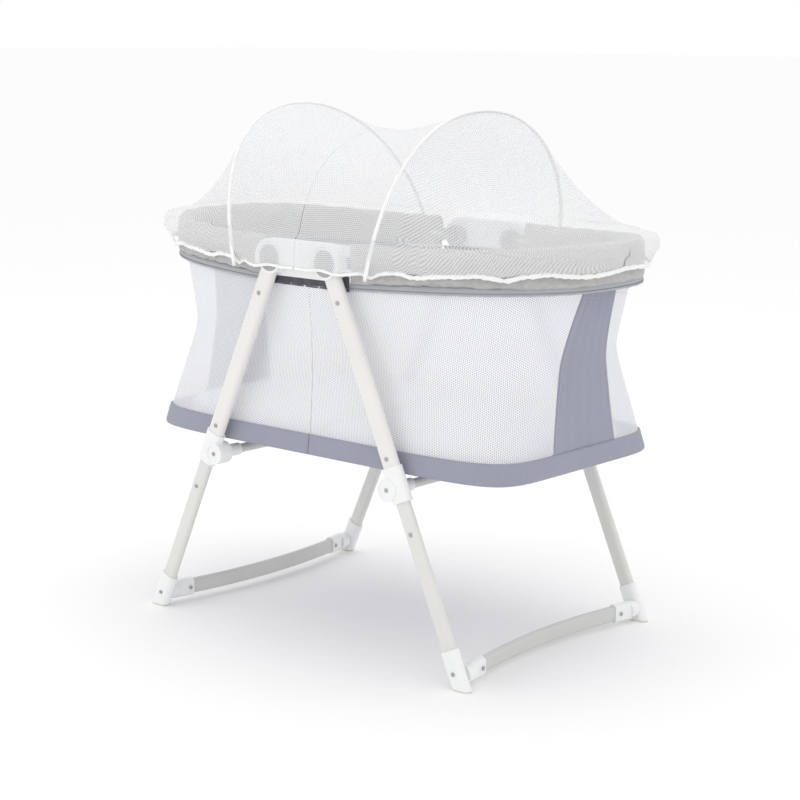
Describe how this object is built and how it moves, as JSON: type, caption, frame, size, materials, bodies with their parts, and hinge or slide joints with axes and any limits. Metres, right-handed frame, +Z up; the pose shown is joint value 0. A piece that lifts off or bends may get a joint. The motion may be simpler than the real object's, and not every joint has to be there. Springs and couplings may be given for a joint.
{
  "type": "bassinet on stand",
  "caption": "Folding travel bassinet: mesh basket with a padded oval rim and mattress on a splayed tube stand with flip-down rockers, under a mosquito net on two bows.",
  "frame": {"origin": "on the floor under the middle of the basket", "axes": "+X along the basket's length, -Y the front, +Z up"},
  "size_m": [0.973, 0.545, 0.9205],
  "materials": {
    "leg_paint_upper": "gloss",
    "leg_paint_lower": "gloss",
    "bar_paint": "satin",
    "white_plastic": "satin",
    "grey_plastic": "matt",
    "screw_steel": "satin",
    "rim_fabric": "melange weave",
    "zip_tape": "matt",
    "mesh_fabric": "open knitted mesh",
    "panel_fabric": "plain weave",
    "band_fabric": "plain weave",
    "dark_lining": "matt",
    "mattress_fabric": "quilted",
    "board": "hardboard",
    "net_fabric": "fine net",
    "hem_elastic": "gathered elastic",
    "bow_white": "satin",
    "sole_rubber": "matt"
  },
  "bodies": {
    "hub": {"hub_front": "white_plastic", "hub_back": "white_plastic", "pivot_bolts": "screw_steel", "hub_linings": "dark_lining", "net_left": "net_fabric", "net_right": "net_fabric", "net_hem": "hem_elastic", "bow_rods": "bow_white"},
    "left_rim": {"rim_tube_left": "bar_paint", "rim_knuckles_left": "grey_plastic", "rim_cover_left": "rim_fabric", "rim_zip_left": "zip_tape"},
    "right_rim": {"rim_tube_right": "bar_paint", "rim_knuckles_right": "grey_plastic", "rim_cover_right": "rim_fabric", "rim_zip_right": "zip_tape"},
    "left_legs": {"upper_leg_front_left": "leg_paint_upper", "upper_leg_back_left": "leg_paint_upper", "lower_leg_front_left": "leg_paint_lower", "lower_leg_back_left": "leg_paint_lower", "leg_tops_left": "white_plastic", "mid_connectors_left": "white_plastic", "foot_caps_left": "white_plastic", "foot_soles_left": "sole_rubber", "crossbar_left": "bar_paint", "leg_screws_left": "screw_steel", "button_springs_left": "screw_steel"},
    "right_legs": {"upper_leg_front_right": "leg_paint_upper", "upper_leg_back_right": "leg_paint_upper", "lower_leg_front_right": "leg_paint_lower", "lower_leg_back_right": "leg_paint_lower", "leg_tops_right": "white_plastic", "mid_connectors_right": "white_plastic", "foot_caps_right": "white_plastic", "foot_soles_right": "sole_rubber", "crossbar_right": "bar_paint", "leg_screws_right": "screw_steel", "button_springs_right": "screw_steel"},
    "floor_lift": {"centre_rod": "screw_steel", "pull_strap": "band_fabric"},
    "left_floor": {"base_band_left": "band_fabric", "floor_board_left": "board", "mattress_left": "mattress_fabric", "mesh_wall_left": "mesh_fabric", "end_panel_left": "panel_fabric"},
    "right_floor": {"base_band_right": "band_fabric", "floor_board_right": "board", "mattress_right": "mattress_fabric", "mesh_wall_right": "mesh_fabric", "end_panel_right": "panel_fabric"},
    "left_rocker": {"rocker_bar_left": "bar_paint", "rocker_knuckles_left": "white_plastic", "rocker_rivets_left": "screw_steel"},
    "right_rocker": {"rocker_bar_right": "bar_paint", "rocker_knuckles_right": "white_plastic", "rocker_rivets_right": "screw_steel"},
    "front_left_button": {"release_button_front_left": "grey_plastic"},
    "front_right_button": {"release_button_front_right": "grey_plastic"},
    "back_left_button": {"release_button_back_left": "grey_plastic"},
    "back_right_button": {"release_button_back_right": "grey_plastic"}
  },
  "joints": [
    {"name": "left_rim_fold", "type": "hinge", "parent": "hub", "child": "left_rim", "pos_m": [-0.063, 0, 0.669], "axis": [0, -1, 0], "range_deg": [0, 75], "deforming": ["rim_cover_left", "rim_zip_left", "hub_linings", "net_left", "net_right", "net_hem", "mesh_wall_left", "mesh_wall_right", "end_panel_left", "end_panel_right"]},
    {"name": "right_rim_fold", "type": "hinge", "parent": "hub", "child": "right_rim", "pos_m": [0.063, 0, 0.669], "axis": [0, 1, 0], "range_deg": [0, 75], "deforming": ["rim_cover_right", "rim_zip_right"]},
    {"name": "left_leg_fold", "type": "hinge", "parent": "hub", "child": "left_legs", "pos_m": [-0.063, 0, 0.669], "axis": [0, -1, 0], "range_deg": [0, 19]},
    {"name": "right_leg_fold", "type": "hinge", "parent": "hub", "child": "right_legs", "pos_m": [0.063, 0, 0.669], "axis": [0, 1, 0], "range_deg": [0, 19]},
    {"name": "floor_lift", "type": "slide", "parent": "hub", "child": "floor_lift", "axis": [0, 0, 1], "range_m": [0, 0.35]},
    {"name": "left_floor_fold", "type": "hinge", "parent": "floor_lift", "child": "left_floor", "pos_m": [0, 0, 0.334], "axis": [0, -1, 0], "range_deg": [0, 75], "deforming": ["mesh_wall_left", "end_panel_left"]},
    {"name": "right_floor_fold", "type": "hinge", "parent": "floor_lift", "child": "right_floor", "pos_m": [0, 0, 0.334], "axis": [0, 1, 0], "range_deg": [0, 75], "deforming": ["mesh_wall_right", "end_panel_right"]},
    {"name": "left_rocker_flip", "type": "hinge", "parent": "left_legs", "child": "left_rocker", "pos_m": [-0.351, 0, 0.024], "axis": [0, 1, 0], "range_deg": [0, 90]},
    {"name": "right_rocker_flip", "type": "hinge", "parent": "right_legs", "child": "right_rocker", "pos_m": [0.351, 0, 0.024], "axis": [0, -1, 0], "range_deg": [0, 90]},
    {"name": "front_left_button_press", "type": "slide", "parent": "left_legs", "child": "front_left_button", "axis": [0, 1, 0], "range_m": [0, 0.004], "stiffness_N_per_m": 800, "deforming": ["button_springs_left"]},
    {"name": "front_right_button_press", "type": "slide", "parent": "right_legs", "child": "front_right_button", "axis": [0, 1, 0], "range_m": [0, 0.004], "stiffness_N_per_m": 800, "deforming": ["button_springs_right"]},
    {"name": "back_left_button_press", "type": "slide", "parent": "left_legs", "child": "back_left_button", "axis": [0, -1, 0], "range_m": [0, 0.004], "stiffness_N_per_m": 800, "deforming": ["button_springs_left"]},
    {"name": "back_right_button_press", "type": "slide", "parent": "right_legs", "child": "back_right_button", "axis": [0, -1, 0], "range_m": [0, 0.004], "stiffness_N_per_m": 800, "deforming": ["button_springs_right"]}
  ],
  "couplings": [
    {"joint": "right_rim_fold", "follows": "left_rim_fold", "ratio": 1},
    {"joint": "left_leg_fold", "follows": "left_rim_fold", "ratio": 0.25333},
    {"joint": "right_leg_fold", "follows": "left_rim_fold", "ratio": 0.25333},
    {"joint": "floor_lift", "follows": "left_rim_fold", "m_per_rad": 0.26738},
    {"joint": "left_floor_fold", "follows": "left_rim_fold", "ratio": 1},
    {"joint": "right_floor_fold", "follows": "left_rim_fold", "ratio": 1}
  ]
}
